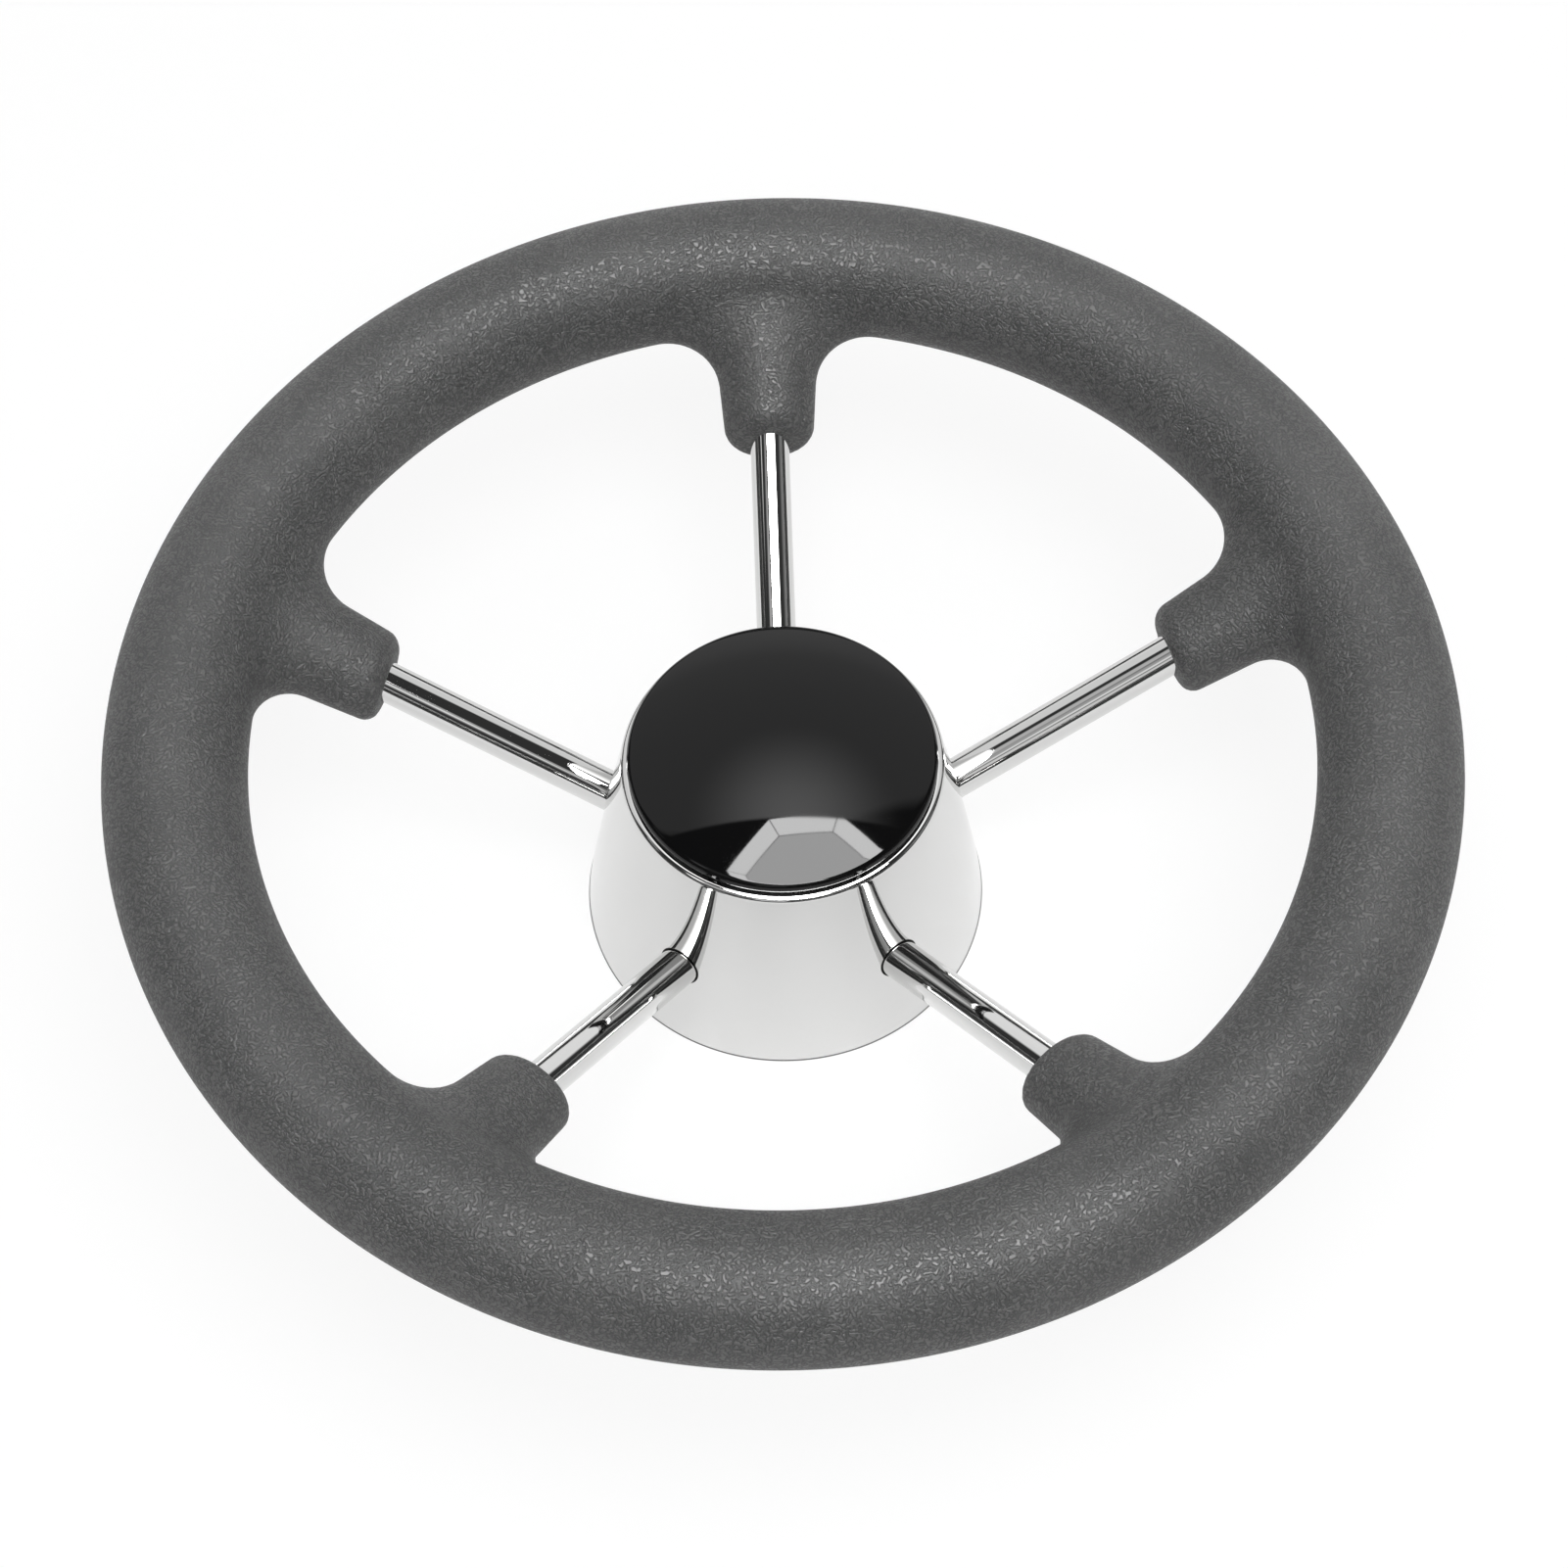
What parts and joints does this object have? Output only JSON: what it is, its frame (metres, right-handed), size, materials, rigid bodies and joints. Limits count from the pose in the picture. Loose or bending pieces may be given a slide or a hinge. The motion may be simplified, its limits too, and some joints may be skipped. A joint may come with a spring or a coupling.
{
  "type": "boat steering wheel",
  "caption": "Stainless boat steering wheel with dished tube spokes, a moulded grey foam grip, a flared polished bell over its tapered hub and a black domed centre cap.",
  "frame": {"origin": "on the wheel's axis, in the plane of the bell's open back edge, which is what the wheel lies on", "axes": "+Z along the wheel's axis towards the driver; +Y along the level direction of the first spoke and of the key slot"},
  "size_m": [0.343, 0.343, 0.0962],
  "materials": {
    "grip_foam": "self-skinned foam with a fine pebbled grain",
    "polished_steel": "mirror-polished stainless steel",
    "plain_steel": "as drawn or turned stainless steel",
    "weld_steel": "bare weld bead",
    "gloss_black": "glossy moulded plastic",
    "seal_rubber": "matt moulded rubber"
  },
  "bodies": {
    "root": {"foam_grip": "grip_foam", "rim_ring": "plain_steel", "rim_welds": "weld_steel", "hub": "plain_steel", "hub_welds": "weld_steel", "bell": "polished_steel", "bell_tacks": "weld_steel", "centre_cap": "gloss_black", "cap_o_ring": "seal_rubber", "spoke_1": "polished_steel", "spoke_2": "polished_steel", "spoke_3": "polished_steel", "spoke_4": "polished_steel", "spoke_5": "polished_steel"}
  },
  "joints": []
}
